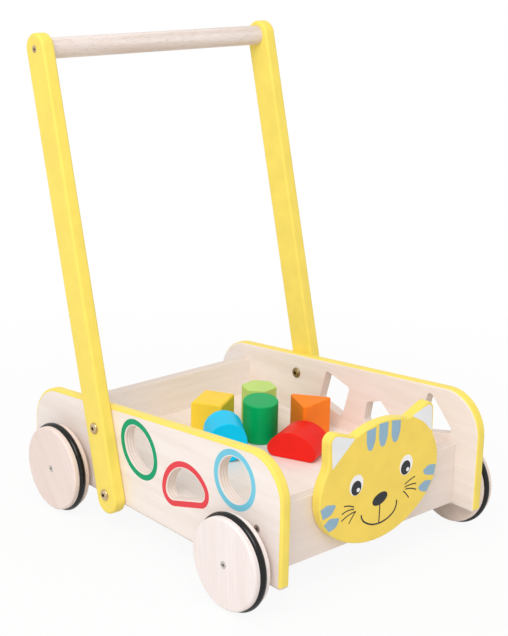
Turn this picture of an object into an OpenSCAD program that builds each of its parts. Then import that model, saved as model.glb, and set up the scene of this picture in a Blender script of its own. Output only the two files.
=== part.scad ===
// Baby push walker: a shape-sorter tray on four wheels, with a cat's head on the front wall,
// a push handle and six blocks that match the holes in the side panels.
// Millimetres. +Z is up, the cat's face looks along -Y, and the origin is on the ground below
// the middle of the walker. Right and left are those of the child who pushes it: right is -X.

/* [Side panels] */
// Length of the side panels, front to rear
panel_l = 421; // [400:1:480]
// Width of the body over the two side panels
body_w = 290; // [270:1:340]
// Thickness of the side panels
panel_t = 12; // [10:0.5:16]
// Height of the panels' bottom edge above the ground
panel_z = 36; // [32:1:42]
// Height of the panels at the front edge, before the corner is rounded
panel_front_h = 132.5; // [125:0.5:160]
// Fall of the panels' top edge towards the rear, in degrees
panel_fall = 5.8; // [2:0.1:8]
// Radius of the panels' top front corner
front_corner_r = 45; // [20:1:50]
// Radius of the panels' top rear corner
rear_corner_r = 48; // [20:1:50]
// Radius of the panels' two bottom corners
bottom_corner_r = 4; // [3:0.5:10]
// Rounding of the panels' painted edges
panel_round = 2; // [1:0.25:2.5]

/* [Tray] */
// Thickness of the front and rear walls
wall_t = 12; // [10:0.5:16]
// Distance from the panels' front edge back to the front wall
front_wall_in = 29; // [26:0.5:40]
// Distance from the panels' rear edge forward to the rear wall
rear_wall_in = 43; // [30:0.5:50]
// Height of the walls' bottom edge above the panels' bottom edge
wall_lift = 2; // [0:0.5:4]
// Height of the front wall
front_wall_h = 68; // [60:1:80]
// Height of the rear wall
rear_wall_h = 75; // [60:1:82]
// Rounding of the walls' top edges
wall_round = 1.5; // [0.5:0.25:3]
// Height of the floor's top face above the panels' bottom edge
floor_rise = 32; // [30:0.5:36]
// Thickness of the tray floor
floor_t = 8; // [5:0.5:9]
// Depth of the grooves in the panels that hold the floor
groove_depth = 4; // [2:0.5:6]

/* [Head board] */
// Width of the cat's head without its ears
head_w = 170; // [150:1:180]
// Height of the cat's head without its ears
head_h = 128.5; // [115:0.5:135]
// Thickness of the head board
head_t = 12; // [9:0.5:14]
// Rounding of the head board's edges
head_round = 2; // [1:0.25:3]
// Height of the head's lower edge above the panels' bottom edge
head_lift = 1.5; // [0:0.5:8]
// Distance of the head's middle from the walker's middle, towards the left
head_shift = 5; // [-10:0.5:10]
// Turn of the head in its own plane, in degrees
head_tilt = 1.6; // [-4:0.1:4]
// Turn of the head's oval against its ears, in degrees
oval_tilt = 2.5; // [-4:0.1:4]
// Radius of the head's two cheeks
cheek_r = 52; // [46:0.5:56]
// Distance of the ears' middle from the head's middle, towards the left
ear_shift = 1.5; // [-3:0.5:3]
// Distance of the middle of an ear's round tip from the ears' middle
ear_tip_x = 65; // [58:0.5:70]
// Height of the middle of an ear's round tip above the head's middle
ear_tip_h = 58; // [54:0.5:62]
// Radius of an ear's tip
ear_tip_r = 9.5; // [7:0.5:12]
// Slope of an ear's upper edge, in degrees
ear_slope = 22.5; // [15:0.5:32]
// Radius of the hollow between an ear's upright side and the cheek
ear_side_r = 20; // [10:1:30]
// Radius of the hollow between an ear's upper edge and the crown
ear_root_r = 8; // [4:1:14]

/* [Handle] */
// Width of a handle arm
arm_w = 33; // [30:1:40]
// Thickness of a handle arm
arm_t = 15; // [12:0.5:20]
// Rounding of the arms' edges
arm_round = 3; // [1:0.5:5]
// Lean of the arms towards the rear, in degrees
arm_lean = 14.2; // [8:0.1:18]
// Height of the handle bar's axis above the ground
bar_h = 506; // [440:1:540]
// Diameter of the handle bar
bar_d = 22; // [18:0.5:26]
// Depth of the bar's sockets in the arms
bar_socket = 4; // [2:0.5:6]
// Distance from the panels' rear edge forward to the lower arm bolts
arm_bolt_in = 157.8; // [148:0.2:172]
// Height of the lower arm bolts above the panels' bottom edge
arm_bolt_rise = 10; // [9:0.5:14]
// Distance between an arm's two bolts
arm_bolt_gap = 73; // [60:1:76]
// Length of an arm below its lower bolt, to the middle of its round end
arm_tail = 5; // [2:0.5:10]

/* [Wheels] */
// Diameter of a wheel over its tyre
wheel_d = 100; // [90:1:104]
// Height of the tyre above the wooden rim
tyre_proud = 3; // [2:0.25:4]
// Diameter of the tyre's round section
tyre_section = 8; // [6:0.5:10]
// Thickness of a wheel
wheel_t = 20; // [18:0.5:28]
// Rounding of the wheels' rims
wheel_round = 2.5; // [1.5:0.5:5]
// Gap between a wheel and its panel
wheel_gap = 6; // [3:0.5:8]
// Diameter of the axles
axle_d = 12; // [10:0.5:16]
// Depth of the axles' sockets in the wheels
axle_socket = 12; // [8:0.5:14]
// Outer diameter of the axle washers
washer_d = 24; // [20:1:32]
// Distance from the panels' front edge back to the front axle
front_axle_in = 53; // [50:1:56]
// Distance from the panels' rear edge forward to the rear axle
rear_axle_in = 70.4; // [66:0.2:84]

/* [Shape holes] */
// Diameter of the round hole
round_d = 47; // [42:0.5:50]
// Distance of the round hole behind the panel's front edge
round_in = 68.6; // [64:0.2:72]
// Height of the round hole above the panel's bottom edge
round_rise = 89.5; // [86:0.5:92]
// Radius of the half-round hole
half_r = 33; // [28:0.5:35]
// Rounding of the half-round hole's two corners
half_corner_r = 9; // [4:0.5:10]
// Distance of the half-round hole behind the panel's front edge
half_in = 142; // [138:0.5:146]
// Height of the half-round hole's flat side above the panel's bottom edge
half_rise = 42.5; // [40:0.5:46]
// Turn of the half-round hole, in degrees
half_turn = -16.4; // [-30:0.2:30]
// Length of the oval hole
oval_l = 53; // [48:0.5:58]
// Width of the oval hole
oval_w = 43; // [38:0.5:47]
// Distance of the oval hole behind the panel's front edge
oval_in = 222; // [216:0.2:226]
// Height of the oval hole above the panel's bottom edge
oval_rise = 71.5; // [66:0.5:74]
// Turn of the oval hole, in degrees
oval_turn = 45; // [-90:1:90]
// Side of the square hole
square_w = 40; // [34:0.5:42]
// Distance of the square hole behind the panel's front edge
square_in = 216.5; // [206:0.5:220]
// Height of the square hole above the panel's bottom edge
square_rise = 72.5; // [68:0.5:76]
// Turn of the square hole, in degrees
square_turn = 15.5; // [-45:0.5:45]
// Width of the hexagon hole over its flats
hexagon_w = 39; // [34:0.5:42]
// Distance of the hexagon hole behind the panel's front edge
hexagon_in = 146; // [140:0.5:150]
// Height of the hexagon hole above the panel's bottom edge
hexagon_rise = 63; // [60:0.5:68]
// Turn of the hexagon hole, in degrees
hexagon_turn = 40; // [0:1:60]
// Radius of the circle that fits inside the triangle hole
triangle_r = 15.8; // [13:0.2:17]
// Distance of the triangle hole behind the panel's front edge
triangle_in = 64; // [58:0.2:68]
// Height of the triangle hole above the panel's bottom edge
triangle_rise = 88.5; // [84:0.5:92]
// Turn of the triangle hole, in degrees
triangle_turn = 76; // [0:1:120]
// Rounding of the corners of the straight-sided holes
hole_corner_r = 4.5; // [2:0.25:5]

/* [Blocks] */
// Length of a block
block_l = 45; // [38:0.5:48]
// Room between a block and its hole, all round
block_clear = 1.2; // [0.8:0.1:2]
// Rounding of the blocks' edges
block_round = 1.5; // [0.75:0.25:2.5]
// Rounding of the straight-sided blocks' corners
block_corner_r = 3; // [2.5:0.25:4.5]

/* [Fasteners] */
// Diameter of a wood screw's shank
screw_d = 4; // [3:0.25:4.5]
// Diameter of a wood screw's countersunk head
screw_head_d = 8; // [7:0.25:9]
// Depth of the wood screws' cross recesses
screw_recess = 1.5; // [1:0.25:1.75]
// Length of the screws that hold the walls
wall_screw_l = 40; // [30:1:50]
// Length of the screws that hold the handle bar
bar_screw_l = 45; // [35:1:55]
// Length of the screws that hold the wheels
wheel_screw_l = 32; // [26:1:40]
// Length of the screws that hold the head board
head_screw_l = 20; // [16:0.5:21]
// Height of the lower wall screws above the panels' bottom edge
wall_screw_low = 17; // [14:0.5:20]
// Height of the upper wall screws above the panels' bottom edge
wall_screw_high = 51; // [46:0.5:56]
// Distance between the two head board screws
head_screw_gap = 80; // [60:1:100]
// Height of the head board screws above the panels' bottom edge
head_screw_rise = 52; // [44:0.5:58]
// Diameter of the arm bolts' shanks
bolt_d = 6; // [5:0.5:7]
// Diameter of the arm bolts' heads and of their nuts' flanges
bolt_head_d = 12.5; // [12:0.5:16]
// Height of the arm bolts' heads
bolt_head_h = 2.5; // [1.5:0.25:4]
// Width of the bolts' and nuts' hexagon sockets over the flats
hex_key = 4; // [3:0.5:5]
// Depth of the bolts' and nuts' hexagon sockets
hex_depth = 1.5; // [1:0.25:2]
// Diameter of the nuts' sleeves
nut_sleeve_d = 9; // [8:0.5:10.5]
// Length by which a nut's sleeve stops short of the panel's outer face
nut_short = 1; // [0.5:0.25:3]
// Length by which an arm bolt stops short of its nut's flange
bolt_short = 1.5; // [0.5:0.25:3]

/* [Clearances] */
// Room between an axle and the panel that it turns in, on the radius
axle_clear = 0.05; // [0.02:0.01:0.1]
// Room between a fixed piece and the hole that it sits in, on the radius
seat_clear = 0.1; // [0.05:0.05:0.2]
// Room between a block and the floor that it lies on
rest_gap = 0.2; // [0.1:0.05:0.4]
// Room between an axle washer and the panel
washer_gap = 0.3; // [0.2:0.05:0.5]

/* [Hidden] */
$fn = 96;

// Sides as signs of X
RIGHT = -1;
LEFT = 1;
SIDES = [RIGHT, LEFT];

// How far a cut runs past the face that it opens
cut = 1;
// Steps round an edge rounding, round a corner that is hulled, and to each side of the middle
// of a straight-sided outline's corner
edge_fn = 16;
corner_fn = 64;
corner_steps = 4;
// Degrees in a step along the head's outline
arc_step = 6;

// Planes and lines of the body
front_y = -panel_l / 2;
rear_y = panel_l / 2;
inner_w = body_w - 2 * panel_t;
floor_z = panel_z + floor_rise;
wall_z = panel_z + wall_lift;
front_wall_y = front_y + front_wall_in;
rear_wall_y = rear_y - rear_wall_in - wall_t;
floor_l = rear_wall_y - front_wall_y - wall_t;
floor_y = (rear_wall_y + front_wall_y + wall_t) / 2;
panel_top_z = panel_z + panel_front_h;

// Corner circles of a side panel as [distance behind the front edge, height, radius]
function corner_z(y, r) = panel_top_z - tan(panel_fall) * y - r / cos(panel_fall);
panel_corners = [
    [front_corner_r, corner_z(front_corner_r, front_corner_r), front_corner_r],
    [panel_l - rear_corner_r, corner_z(panel_l - rear_corner_r, rear_corner_r), rear_corner_r],
    [panel_l - bottom_corner_r, panel_z + bottom_corner_r, bottom_corner_r],
    [bottom_corner_r, panel_z + bottom_corner_r, bottom_corner_r]
];

// Wheels and axles
axle_z = wheel_d / 2;
front_axle_y = front_y + front_axle_in;
rear_axle_y = rear_y - rear_axle_in;
wheel_r = wheel_d / 2 - tyre_proud;
tyre_r = (wheel_d - tyre_section) / 2;
axle_l = body_w + 2 * (wheel_gap + axle_socket);
wheel_out = body_w / 2 + wheel_gap + wheel_t;

// Handle: the lower bolt and the bar lie on the arm's middle line
low_bolt = [rear_y - arm_bolt_in, panel_z + arm_bolt_rise];
bar_yz = [low_bolt[0] + (bar_h - low_bolt[1]) * tan(arm_lean), bar_h];
arm_run = (bar_h - low_bolt[1]) / cos(arm_lean);
arm_l = arm_run + arm_tail;
bolt_runs = [0, arm_bolt_gap];

// A place on the arm's middle line, at a distance along it from the lower bolt
function on_arm(run) = low_bolt + run * [sin(arm_lean), cos(arm_lean)];

// Middle of the cat's head
head_z = panel_z + head_lift + head_h / 2;
head_y = front_wall_y - head_t;

// Head cone of a wood screw
screw_cone = (screw_head_d - screw_d) / 2;

// Where the wall screws sit: [distance from the origin along Y, height]
wall_screw_places = [
    for (y = [front_wall_y + wall_t / 2, rear_wall_y + wall_t / 2])
        for (rise = [wall_screw_low, wall_screw_high]) [y, panel_z + rise]
];
head_screw_xs = [head_shift - head_screw_gap / 2, head_shift + head_screw_gap / 2];

// Inset and corner rounding of the straight-sided blocks' end faces
end_inset = block_clear + block_round;
end_corner_r = block_corner_r - block_round;

// Where the blocks lie on the floor: [x, y, turn in degrees]
yellow_place = [18, 88.3, 30.2];
green_place = [43.1, 33.3, 50.5];
hexagon_place = [74.4, 71.5, 10];
orange_place = [88, 1, -23.5];
red_place = [46.2, -28.9, 23.8];
blue_place = [-22.2, 17.9, 56.5];

// Colours of the finishes
birch = "#F1E4D8";
yellow_paint = "#F6DC5E";
face_paint = "#EFCF5C";
beech = "#E3D0BE";
rubber = "#1C1C1A";
brass = "#A8925C";
steel = "#8E8A82";

// PROFILES

// Rounded rectangle, centred on the origin
module rounded_rectangle(w, h, r) {
    square([w - 2 * r, h], center = true);
    square([w, h - 2 * r], center = true);
    for (sx = [-1, 1])
        for (sy = [-1, 1])
            translate([sx * (w / 2 - r), sy * (h / 2 - r)])
                circle(r);
}

// Half section of a disc with a rounded rim, on the positive side of its axis
module disc_section(r, t, round_r) {
    translate([0, -t / 2])
        square([r - round_r, t]);
    translate([0, -t / 2 + round_r])
        square([r, t - 2 * round_r]);
    for (s = [-1, 1])
        translate([r - round_r, s * (t / 2 - round_r)])
            circle(round_r);
}

// Regular outline with round corners, one corner on the X axis
module regular_outline(sides, inner_r, corner_r) {
    half = 180 / sides;
    reach = (inner_r - corner_r) / cos(half);
    polygon([
        for (k = [0 : sides - 1])
            for (s = [-corner_steps : corner_steps])
                let (a = 2 * half * k, b = a + half * s / corner_steps)
                    reach * [cos(a), sin(a)] + corner_r * [cos(b), sin(b)]
    ]);
}

// Half disc with its flat side a drop below the arc's centre, and round corners
module half_outline(r, drop, corner_r) {
    low = corner_r - drop;
    reach = sqrt(pow(r - corner_r, 2) - pow(low, 2));
    side = atan2(low, reach);
    intersection() {
        circle(r);
        polygon([
            [-reach, -drop], [reach, -drop], [reach, low], 2 * r * [cos(side), sin(side)],
            [2 * r, 2 * r], [-2 * r, 2 * r], 2 * r * [-cos(side), sin(side)], [-reach, low]
        ]);
    }
    for (s = [-1, 1])
        translate([s * reach, low])
            circle(corner_r);
}

// Oval, longer along X
module oval_outline(l, w) {
    scale([l / w, 1])
        circle(w / 2);
}

// Outlines of the six shapes. A hole has no inset, and a block is inset by its clearance.
module round_shape(inset) {
    circle(round_d / 2 - inset);
}
module half_shape(inset) {
    half_outline(half_r - inset, -inset, half_corner_r);
}
module oval_shape(inset) {
    oval_outline(oval_l - 2 * inset, oval_w - 2 * inset);
}
module square_shape(inset, corner_r) {
    rotate(45)
        regular_outline(4, square_w / 2 - inset, corner_r);
}
module hexagon_shape(inset, corner_r) {
    regular_outline(6, hexagon_w / 2 - inset, corner_r);
}
module triangle_shape(inset, corner_r) {
    regular_outline(3, triangle_r - inset, corner_r);
}

// SHARED SOLIDS

// Disc with a rounded rim, centred on the origin, as a corner of a hulled board
module corner_disc(r, t, round_r) {
    rotate_extrude($fn = corner_fn)
        disc_section(r, t, round_r, $fn = edge_fn);
}

// Long board with half-round ends and rounded edges. Its thickness is along Z, the middle of
// one end is the origin, and it runs along -Y.
module round_ended_board(w, l, t, round_r) {
    rotate([90, 0, 0])
        linear_extrude(l)
            rounded_rectangle(w, t, round_r);
    rotate_extrude(angle = 180)
        disc_section(w / 2, t, round_r);
    translate([0, -l, 0])
        rotate(180)
            rotate_extrude(angle = 180)
                disc_section(w / 2, t, round_r);
}

// Countersunk wood screw, its head's face at the origin, pointing along -Z
module wood_screw(l) {
    recess_w = screw_d / 4;
    recess_l = screw_head_d / 2;
    tip_d = screw_d / 8;
    difference() {
        union() {
            translate([0, 0, -screw_cone])
                cylinder(h = screw_cone, d1 = screw_d, d2 = screw_head_d);
            translate([0, 0, screw_d - l])
                cylinder(h = l - screw_d - screw_cone, d = screw_d);
            translate([0, 0, -l])
                cylinder(h = screw_d, d1 = tip_d, d2 = screw_d);
        }
        for (turn = [0, 90])
            rotate(turn)
                translate([-recess_l / 2, -recess_w / 2, -screw_recess])
                    cube([recess_l, recess_w, screw_recess + cut]);
    }
}

// Hole for a countersunk wood screw, wider by the seat clearance
module screw_hole(l) {
    hole_d = screw_d + 2 * seat_clear;
    translate([0, 0, -screw_cone])
        cylinder(h = screw_cone, d1 = hole_d, d2 = screw_head_d + 2 * seat_clear);
    translate([0, 0, -l - seat_clear])
        cylinder(h = l + seat_clear, d = hole_d);
    cylinder(h = cut, d = screw_head_d + 2 * seat_clear);
}

// Turns Z outwards along X on one side of the walker
module outwards(side) {
    rotate([0, side * 90, 0])
        children();
}

// Lays a drawing on a side panel's middle plane, with X to the rear and Y up
module on_panel(side, in, rise, turn) {
    translate([side * (body_w - panel_t) / 2, front_y + in, panel_z + rise])
        rotate([90, 0, 90])
            rotate(turn)
                children();
}

// A hole of the drawn outline through a side panel
module panel_hole(side, in, rise, turn) {
    on_panel(side, in, rise, turn)
        linear_extrude(panel_t + 2 * cut, center = true)
            children();
}

// Places things at each wall screw of one side, head outwards
module at_wall_screws(side) {
    for (p = wall_screw_places)
        translate([side * body_w / 2, p[0], p[1]])
            outwards(side)
                children();
}

// Places things at each head board screw, head towards the tray
module at_head_screws() {
    for (x = head_screw_xs)
        translate([x, front_wall_y + wall_t, panel_z + head_screw_rise])
            rotate([-90, 0, 0])
                children();
}

// Places things at each arm bolt of one side, on the arm's outer face, pointing outwards
module at_arm_bolts(side) {
    for (run = bolt_runs)
        translate([side * (body_w / 2 + arm_t), on_arm(run)[0], on_arm(run)[1]])
            outwards(side)
                children();
}

// Places a thing at the end of the bar, on the arm's outer face, pointing outwards
module at_bar_end(side) {
    translate([side * (body_w / 2 + arm_t), bar_yz[0], bar_yz[1]])
        outwards(side)
            children();
}

// BODY

// Side panel without its shape holes
module side_panel(side) {
    difference() {
        translate([side * (body_w - panel_t) / 2, front_y, 0])
            rotate([90, 0, 90])
                hull()
                    for (c = panel_corners)
                        translate([c[0], c[1], 0])
                            corner_disc(c[2], panel_t, panel_round);
        // Groove for the floor
        translate([side * (inner_w + groove_depth) / 2, floor_y, floor_z - floor_t / 2])
            cube([groove_depth, floor_l, floor_t] + 2 * seat_clear * [1, 1, 1], center = true);
        // Bores for the axles
        for (y = [front_axle_y, rear_axle_y])
            translate([side * (body_w - panel_t) / 2, y, axle_z])
                outwards(side)
                    cylinder(h = panel_t + 2 * cut, r = axle_d / 2 + axle_clear, center = true);
        // Holes for the arm nuts' sleeves
        for (run = bolt_runs)
            translate([side * (body_w - panel_t) / 2, on_arm(run)[0], on_arm(run)[1]])
                outwards(side)
                    cylinder(h = panel_t + 2 * cut, r = nut_sleeve_d / 2 + seat_clear, center = true);
        at_wall_screws(side)
            screw_hole(wall_screw_l);
    }
}

module right_side_panel() {
    color(birch)
        difference() {
            side_panel(RIGHT);
            panel_hole(RIGHT, round_in, round_rise, 0)
                round_shape(0);
            panel_hole(RIGHT, half_in, half_rise, half_turn)
                half_shape(0);
            panel_hole(RIGHT, oval_in, oval_rise, oval_turn)
                oval_shape(0);
        }
}

module left_side_panel() {
    color(birch)
        difference() {
            side_panel(LEFT);
            panel_hole(LEFT, square_in, square_rise, square_turn)
                square_shape(0, hole_corner_r);
            panel_hole(LEFT, hexagon_in, hexagon_rise, hexagon_turn)
                hexagon_shape(0, hole_corner_r);
            panel_hole(LEFT, triangle_in, triangle_rise, triangle_turn)
                triangle_shape(0, hole_corner_r);
        }
}

// Cross wall between the panels, with its two top edges rounded
module cross_wall(y, h) {
    difference() {
        translate([-inner_w / 2, y, wall_z])
            rotate([90, 0, 90])
                linear_extrude(inner_w)
                    union() {
                        square([wall_t, h - wall_round]);
                        translate([wall_round, 0])
                            square([wall_t - 2 * wall_round, h]);
                        for (x = [wall_round, wall_t - wall_round])
                            translate([x, h - wall_round])
                                circle(wall_round);
                    }
        for (side = SIDES)
            at_wall_screws(side)
                screw_hole(wall_screw_l);
    }
}

module front_wall() {
    color(birch)
        difference() {
            cross_wall(front_wall_y, front_wall_h);
            at_head_screws()
                screw_hole(head_screw_l);
        }
}

module rear_wall() {
    color(birch)
        cross_wall(rear_wall_y, rear_wall_h);
}

module tray_floor() {
    color(birch)
        translate([0, floor_y, floor_z - floor_t / 2])
            cube([inner_w + 2 * groove_depth, floor_l, floor_t], center = true);
}

// HEAD BOARD

// The head's outline, drawn from its middle, is an oval of four arcs with two ears on it. The
// arcs of the crown and the chin are those that run smoothly into the cheeks.
cheek_x = head_w / 2 - cheek_r;
crown_r = (pow(cheek_x, 2) + pow(head_h / 2, 2) - pow(cheek_r, 2)) / (head_h - 2 * cheek_r);
crown_drop = crown_r - head_h / 2;
cheek_end = atan2(crown_drop, cheek_x);
crown = crown_drop * [sin(oval_tilt), -cos(oval_tilt)];
chin = -crown;

function angle(v) = atan2(v[1], v[0]);
function cheek(side) = side * cheek_x * [cos(oval_tilt), sin(oval_tilt)];
function ear_tip(side) = [ear_shift + side * ear_tip_x, ear_tip_h];

// Middle of the hollow below an ear, where it touches the upright side and the cheek
function side_hollow(side) =
    let (x = ear_shift + side * (ear_tip_x + ear_tip_r + ear_side_r), c = cheek(side))
        [x, c[1] + sqrt(pow(cheek_r + ear_side_r, 2) - pow(x - c[0], 2))];

// Middle of the hollow beside an ear, where it touches the upper edge and the crown
function root_hollow(side) =
    let (
        along = [side * cos(ear_slope), sin(ear_slope)],
        up = [-side * sin(ear_slope), cos(ear_slope)],
        start = ear_tip(side) + (ear_tip_r + ear_root_r) * up,
        q = start - crown,
        run = -q * along + sqrt(pow(q * along, 2) - q * q + pow(crown_r + ear_root_r, 2))
    )
        start + run * along;

// Arcs of the outline, anticlockwise, each as [middle, radius, first angle, last angle, 0 if it
// follows a straight stretch and 1 if it follows another arc]. A hollow's arc runs clockwise.
left_side_turn = angle(side_hollow(LEFT) - cheek(LEFT));
left_root_turn = angle(root_hollow(LEFT) - crown);
right_root_turn = angle(root_hollow(RIGHT) - crown);
right_side_turn = angle(side_hollow(RIGHT) - cheek(RIGHT));
head_arcs = [
    [cheek(LEFT), cheek_r, oval_tilt - cheek_end, left_side_turn, 1],
    [side_hollow(LEFT), ear_side_r, left_side_turn + 180, 180, 1],
    [ear_tip(LEFT), ear_tip_r, 0, 90 + ear_slope, 0],
    [root_hollow(LEFT), ear_root_r, ear_slope - 90, left_root_turn - 180, 0],
    [crown, crown_r, left_root_turn, right_root_turn, 1],
    [root_hollow(RIGHT), ear_root_r, right_root_turn - 180, -90 - ear_slope, 1],
    [ear_tip(RIGHT), ear_tip_r, 90 - ear_slope, 180, 0],
    [side_hollow(RIGHT), ear_side_r, 0, right_side_turn - 180, 0],
    [cheek(RIGHT), cheek_r, right_side_turn, 180 + oval_tilt + cheek_end, 1],
    [chin, crown_r, 180 + oval_tilt + cheek_end, 360 + oval_tilt - cheek_end, 1]
];

// Points of an arc, each with the outline's outward direction there
function arc_rim(arc) =
    let (steps = ceil(abs(arc[3] - arc[2]) / arc_step), hand = sign(arc[3] - arc[2]))
        [
            for (k = [arc[4] : steps])
                let (a = arc[2] + (arc[3] - arc[2]) * k / steps, out = [cos(a), sin(a)])
                    [arc[0] + arc[1] * out, hand * out]
        ];

// The cat's head: a board of that outline with rounded edges, centred on its thickness
module head_blank() {
    rim = [for (arc = head_arcs) each arc_rim(arc)];
    rounding = [for (k = [0 : 3]) head_round * [1 - sin(30 * k), 1 - cos(30 * k)]];
    levels = [
        each [for (k = [0 : 3]) [rounding[k][0], rounding[k][1] - head_t / 2]],
        each [for (k = [3 : -1 : 0]) [rounding[k][0], head_t / 2 - rounding[k][1]]]
    ];
    n = len(rim);
    top = n * (len(levels) - 1);
    polyhedron(
        points = [
            for (level = levels)
                for (p = rim)
                    [each p[0] - level[0] * p[1], level[1]]
        ],
        faces = [
            [for (i = [0 : n - 1]) i],
            [for (i = [n - 1 : -1 : 0]) top + i],
            for (j = [0 : len(levels) - 2])
                for (i = [0 : n - 1])
                    let (next = (i + 1) % n)
                        [j * n + i, (j + 1) * n + i, (j + 1) * n + next, j * n + next]
        ]
    );
}

module head_board() {
    color(face_paint)
        difference() {
            translate([head_shift, head_y + head_t / 2, head_z])
                rotate([90, 0, 0])
                    rotate(head_tilt)
                        head_blank();
            at_head_screws()
                screw_hole(head_screw_l);
        }
}

module head_board_screws() {
    color(steel)
        at_head_screws()
            wood_screw(head_screw_l);
}

module wall_screws() {
    color(steel)
        for (side = SIDES)
            at_wall_screws(side)
                wood_screw(wall_screw_l);
}

// HANDLE

module handle_arm(side) {
    difference() {
        translate([side * (body_w + arm_t) / 2, bar_yz[0], bar_yz[1]])
            rotate([-arm_lean, 0, 0])
                rotate([90, 0, 90])
                    round_ended_board(arm_w, arm_l, arm_t, arm_round);
        // Socket for the bar
        translate([side * (body_w / 2 - cut), bar_yz[0], bar_yz[1]])
            outwards(side)
                cylinder(h = bar_socket + cut, r = bar_d / 2 + seat_clear);
        at_bar_end(side)
            screw_hole(bar_screw_l);
        at_arm_bolts(side)
            translate([0, 0, -arm_t - cut])
                cylinder(h = arm_t + 2 * cut, r = bolt_d / 2 + seat_clear);
    }
}

module right_handle_arm() {
    color(yellow_paint)
        handle_arm(RIGHT);
}

module left_handle_arm() {
    color(yellow_paint)
        handle_arm(LEFT);
}

module handle_bar() {
    color(beech)
        difference() {
            translate([0, bar_yz[0], bar_yz[1]])
                outwards(LEFT)
                    cylinder(h = body_w + 2 * bar_socket, d = bar_d, center = true);
            for (side = SIDES)
                at_bar_end(side)
                    screw_hole(bar_screw_l);
        }
}

module handle_bar_screws() {
    color(steel)
        for (side = SIDES)
            at_bar_end(side)
                wood_screw(bar_screw_l);
}

// Broad head of a bolt or flange of a nut, domed down to its rim, standing on the origin
module round_head() {
    flat_r = bolt_head_d / 2 - bolt_head_h;
    rotate_extrude()
        intersection() {
            square([bolt_head_d / 2, bolt_head_h]);
            union() {
                square([flat_r, bolt_head_h]);
                translate([flat_r, 0])
                    circle(bolt_head_h);
            }
        }
}

// Hexagon socket sunk into a round head
module hex_socket() {
    translate([0, 0, bolt_head_h - hex_depth])
        cylinder(h = hex_depth + cut, d = hex_key / cos(30), $fn = 6);
}

// Broad-headed furniture bolt, its head's seat at the origin, pointing along -Z
module furniture_bolt() {
    shank_l = arm_t + panel_t - bolt_short;
    difference() {
        union() {
            round_head();
            translate([0, 0, -shank_l])
                cylinder(h = shank_l, d = bolt_d);
        }
        hex_socket();
    }
}

// Flanged cap nut, its flange's seat at the origin, with its sleeve along -Z
module cap_nut() {
    sleeve_l = panel_t - nut_short;
    difference() {
        union() {
            round_head();
            translate([0, 0, -sleeve_l])
                cylinder(h = sleeve_l, d = nut_sleeve_d);
        }
        translate([0, 0, -sleeve_l - cut])
            cylinder(h = sleeve_l + cut, r = bolt_d / 2 + seat_clear);
        hex_socket();
    }
}

module arm_bolts() {
    color(brass)
        for (side = SIDES)
            at_arm_bolts(side)
                furniture_bolt();
}

module arm_nuts() {
    color(brass)
        for (side = SIDES)
            for (run = bolt_runs)
                translate([side * inner_w / 2, on_arm(run)[0], on_arm(run)[1]])
                    outwards(-side)
                        cap_nut();
}

// WHEELS

// Axle with a pilot hole in each end
module axle(y) {
    difference() {
        translate([0, y, axle_z])
            outwards(LEFT)
                cylinder(h = axle_l, d = axle_d, center = true);
        for (side = SIDES)
            translate([side * wheel_out, y, axle_z])
                outwards(side)
                    screw_hole(wheel_screw_l);
    }
}

// Turned wooden wheel with a round groove for its tyre
module wheel(side, y) {
    difference() {
        translate([side * (wheel_out - wheel_t / 2), y, axle_z])
            outwards(side)
                rotate_extrude()
                    difference() {
                        disc_section(wheel_r, wheel_t, wheel_round);
                        translate([tyre_r, 0])
                            circle(tyre_section / 2 + seat_clear);
                    }
        translate([side * (wheel_out - wheel_t - cut), y, axle_z])
            outwards(side)
                cylinder(h = axle_socket + cut, r = axle_d / 2 + seat_clear);
        translate([side * wheel_out, y, axle_z])
            outwards(side)
                screw_hole(wheel_screw_l);
    }
}

module tyre(side, y) {
    translate([side * (wheel_out - wheel_t / 2), y, axle_z])
        outwards(side)
            rotate_extrude()
                translate([tyre_r, 0])
                    circle(tyre_section / 2);
}

module wheel_screws(y) {
    for (side = SIDES)
        translate([side * wheel_out, y, axle_z])
            outwards(side)
                wood_screw(wheel_screw_l);
}

module axle_washers(y) {
    for (side = SIDES)
        translate([side * (body_w / 2 + washer_gap), y, axle_z])
            outwards(side)
                difference() {
                    cylinder(h = wheel_gap - washer_gap, d = washer_d);
                    translate([0, 0, -cut])
                        cylinder(h = wheel_gap + 2 * cut, r = axle_d / 2 + seat_clear);
                }
}

module front_axle() {
    color(beech)
        axle(front_axle_y);
}

module rear_axle() {
    color(beech)
        axle(rear_axle_y);
}

module front_right_wheel() {
    color(birch)
        wheel(RIGHT, front_axle_y);
}

module front_left_wheel() {
    color(birch)
        wheel(LEFT, front_axle_y);
}

module rear_right_wheel() {
    color(birch)
        wheel(RIGHT, rear_axle_y);
}

module rear_left_wheel() {
    color(birch)
        wheel(LEFT, rear_axle_y);
}

module front_right_tyre() {
    color(rubber)
        tyre(RIGHT, front_axle_y);
}

module front_left_tyre() {
    color(rubber)
        tyre(LEFT, front_axle_y);
}

module rear_right_tyre() {
    color(rubber)
        tyre(RIGHT, rear_axle_y);
}

module rear_left_tyre() {
    color(rubber)
        tyre(LEFT, rear_axle_y);
}

module front_wheel_screws() {
    color(steel)
        wheel_screws(front_axle_y);
}

module rear_wheel_screws() {
    color(steel)
        wheel_screws(rear_axle_y);
}

module front_axle_washers() {
    color(beech)
        axle_washers(front_axle_y);
}

module rear_axle_washers() {
    color(beech)
        axle_washers(rear_axle_y);
}

// BLOCKS

// Sets a block down on the tray floor at its place
module on_floor(place) {
    translate([place[0], place[1], floor_z + rest_gap])
        rotate(place[2])
            children();
}

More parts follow.
